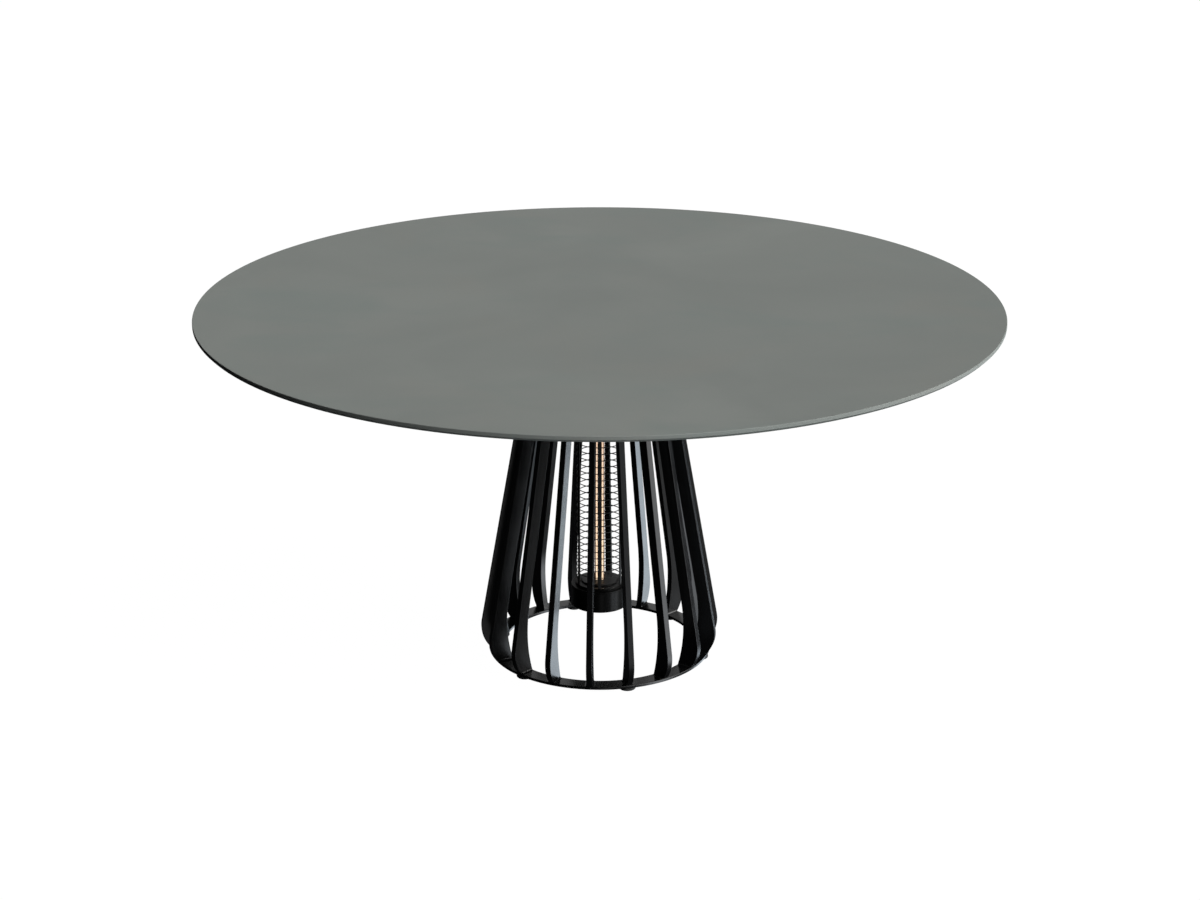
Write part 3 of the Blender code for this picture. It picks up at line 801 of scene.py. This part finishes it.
guard = {"wire": 0.00095, "radius": 0.0467, "rings": 36, "low": 0.1575, "pitch": 0.01412, "steps": 96,
         "roundness": 10, "strips": 6, "stripWidth": 0.0062, "stripFace": 0.0477, "stripThickness": 0.002,
         "stripLow": 0.1490, "stripHigh": 0.6578, "stripSoft": 0.0005}
holder = {"size": (0.029, 0.017, 0.018), "centre": (0, 0, 0.6488), "socket": 0.0048, "soft": 0.0012}


def makeHousings():
    wall = heater["radius"] - heater["sheet"]
    edge, low, high = heater["flange"]
    outline = softened([(0, high), (edge, high), (edge, low), (0, low)], {1: 0.0006, 2: 0.0008})
    flange = newPiece("hanging_flange", turned("hanging_flange", outline, heater["steps"]), enamelFinish,
                      ["heater_flange"])
    drilled(flange, screws["heater"]["shank"] + gap, screwPlaces("heater"), *screws["heater"]["drill"])

    low, high = heater["housing"]
    outline = [(wall, high), (heater["radius"], high), (heater["radius"], low), (heater["leadHole"], low),
               (heater["leadHole"], low + heater["sheet"]), (wall, low + heater["sheet"])]
    outline = softened(outline, {2: 0.003, 5: 0.0015}, 4)
    housing = newPiece("upper_housing", turned("upper_housing", outline, heater["steps"], closed=True),
                       enamelFinish, ["heater_top_housing"])
    bore = raised("glandHole", polygon(40, gland["shank"] + gap), 0.03, 0.08)
    carve(housing, hiddenTool("glandHole", bore, (0, 0, gland["height"]), (-math.pi / 2, 0, 0)))

    low, high = heater["low"], heater["cupTop"]
    outline = [(0, low + heater["sheet"]), (wall, low + heater["sheet"]), (wall, high),
               (heater["radius"], high), (heater["radius"], low), (0, low)]
    outline = softened(outline, {1: 0.001, 3: 0.0004, 4: heater["cupSoft"]}, 5)
    newPiece("lower_cup", turned("lower_cup", outline, heater["steps"]), enamelFinish,
             ["heater_base_cup"])


def makeDeck():
    step = heater["deckStep"]
    disc = heater["disc"]
    outline = [(0, heater["discTop"]), (disc, heater["discTop"]), (disc, heater["deckTop"]),
               (step, heater["deckTop"]), (step, heater["deckRim"]), (heater["radius"], heater["deckRim"]),
               (heater["radius"], heater["deckLow"]), (0, heater["deckLow"])]
    outline = softened(outline, {1: 0.0012, 2: 0.0006, 3: 0.0012, 4: 0.0006, 5: 0.0009, 6: 0.0004}, 4)
    deck = newPiece("stepped_deck", turned("stepped_deck", outline, heater["steps"]), enamelFinish,
                    ["heater_base_deck"])
    places = [(side * tubes["offset"], 0, 0) for side in (-1, 1)]
    drilled(deck, tubes["radius"] + gap, places, *tubes["drill"], 48)


def makeGland():
    seat = heater["radius"] + gap
    collar = seat + gland["collarLength"]
    dome = collar + gland["domeLength"]
    outline = [(gland["bore"], dome), (gland["mouth"], dome), (gland["dome"], dome - 0.003),
               (gland["dome"], collar), (gland["shank"], collar), (gland["shank"], gland["inner"]),
               (gland["bore"], gland["inner"])]
    outline = softened(outline, {0: 0.0006, 1: 0.0012, 2: 0.0012, 5: 0.0005})
    mesh = turned("inlet_gland", outline, 48, closed=True)
    body = newPiece("inlet_gland", mesh, plasticFinish, ["cable_gland"])
    mesh = raised("inlet_nut", polygon(6, gland["collar"]), seat, collar)
    nut = newPiece("inlet_nut", mesh, plasticFinish)
    bevelled(nut, 0.0006)
    for piece in (body, nut):
        piece.location = (0, 0, gland["height"])
        piece.rotation_euler = (-math.pi / 2, 0, 0)
    bore = raised("nutBore", polygon(48, gland["shank"]), 0.05, 0.07)
    carve(nut, hiddenTool("nutBore", bore, nut.location, nut.rotation_euler))


def makeTubes():
    inner = tubes["radius"] - tubes["wall"]
    outline = [(inner, tubes["high"]), (tubes["radius"], tubes["high"]), (tubes["radius"], tubes["low"]),
               (inner, tubes["low"])]
    outline = softened(outline, {0: 0.0003, 1: 0.0004, 2: 0.0004, 3: 0.0003}, 2)
    for side, sign in (("left", -1), ("right", 1)):
        mesh = turned(f"quartz_{side}", outline, 48, closed=True)
        tube = newPiece(f"quartz_{side}", mesh, quartzFinish, [f"quartz_tube_{side}"])
        tube.location.x = sign * tubes["offset"]


def makeCoils():
    turns = (coils["high"] - coils["low"]) / coils["pitch"]
    count = int(turns * coils["pointsPerTurn"])
    points = []
    for step in range(count + 1):
        turn = step / coils["pointsPerTurn"]
        points.append(around(360 * turn, coils["radius"], coils["low"] + turn * coils["pitch"]))
    for side, sign in (("left", -1), ("right", 1)):
        mesh = wireMesh(f"filament_{side}", points, coils["wire"], 1)
        coil = newPiece(f"filament_{side}", mesh, coilFinish, [f"heating_element_{side}"])
        coil.location.x = sign * tubes["offset"]
        # the glow is too small to tint the pieces round it
        coil.visible_glossy = False
        coil.visible_diffuse = False


# A dark open sleeve round the back of each coil, inside its tube. Its dark red colour is painted glow from
# the coil, which is set to light nothing round it.
def makeBackings():
    swing = backings["spread"]
    outer = arc((0, 0), backings["outer"], 90 - swing, 90 + swing, backings["steps"])
    inner = arc((0, 0), backings["inner"], 90 + swing, 90 - swing, backings["steps"])
    for side, sign in (("left", -1), ("right", 1)):
        mesh = raised(f"lamp_backing_{side}", outer + inner, backings["low"], backings["high"])
        sleeve = newPiece(f"lamp_backing_{side}", mesh, glowTintedSleeveFinish)
        sleeve.location.x = sign * tubes["offset"]


def guardRing(shape, height):
    loops = []
    for step in range(guard["steps"]):
        turn = 360 * step / guard["steps"]
        profile = arc((guard["radius"], height), guard["wire"], 0, 360, guard["roundness"])[:-1]
        loops.append([shape.verts.new(around(turn, radius, rise)) for radius, rise in profile])
    for first, second in zip(loops, loops[1:] + loops[:1]):
        for index in range(guard["roundness"]):
            after = (index + 1) % guard["roundness"]
            shape.faces.new([first[index], second[index], second[after], first[after]])


# Rings of round wire, one above the other, held by six upright strips round them
def makeGuard():
    def build(shape):
        for number in range(guard["rings"]):
            guardRing(shape, guard["low"] + number * guard["pitch"])
    mesh = meshFrom("guard_rings", build)
    newPiece("guard_rings", mesh, scorchedFinish, ["guard_wire"])
    size = (guard["stripWidth"], guard["stripThickness"], guard["stripHigh"] - guard["stripLow"])
    middle = (guard["stripHigh"] + guard["stripLow"]) / 2
    for index in range(guard["strips"]):
        degrees = 360 * index / guard["strips"]
        name = f"guard_strip_{index + 1}"
        strip = newPiece(name, block(name, size, (0, 0, 0)), scorchedFinish,
                         [f"guard_upright_{index + 1}"])
        strip.location = around(degrees, guard["stripFace"] + guard["stripThickness"] / 2, middle)
        strip.rotation_euler = (0, 0, math.radians(degrees))
        bevelled(strip, guard["stripSoft"], 3)


def makeHolder():
    mesh = block("upper_holder", holder["size"], holder["centre"])
    piece = newPiece("upper_holder", mesh, ceramicFinish, ["upper_lamp_holder"])
    bevelled(piece, holder["soft"], 3)
    low = holder["centre"][2] - holder["size"][2] / 2
    places = [(side * tubes["offset"], 0, 0) for side in (-1, 1)]
    drilled(piece, holder["socket"], places, low - 0.01, low + 0.010, 32)


makeHousings()
makeDeck()
makeGland()
makeTubes()
makeCoils()
makeBackings()
makeGuard()
makeHolder()
print("heater made")

settlePieces()

# pieces hidden inside the heater keep their shapes from the frame
kept = {"terminal_block": ceramicFinish, "thermal_cutout": plasticFinish, "lower_lamp_holder": ceramicFinish}
for name, finish in kept.items():
    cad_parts[name].material_slots[0].material = finish
print("pieces settled on the frame")
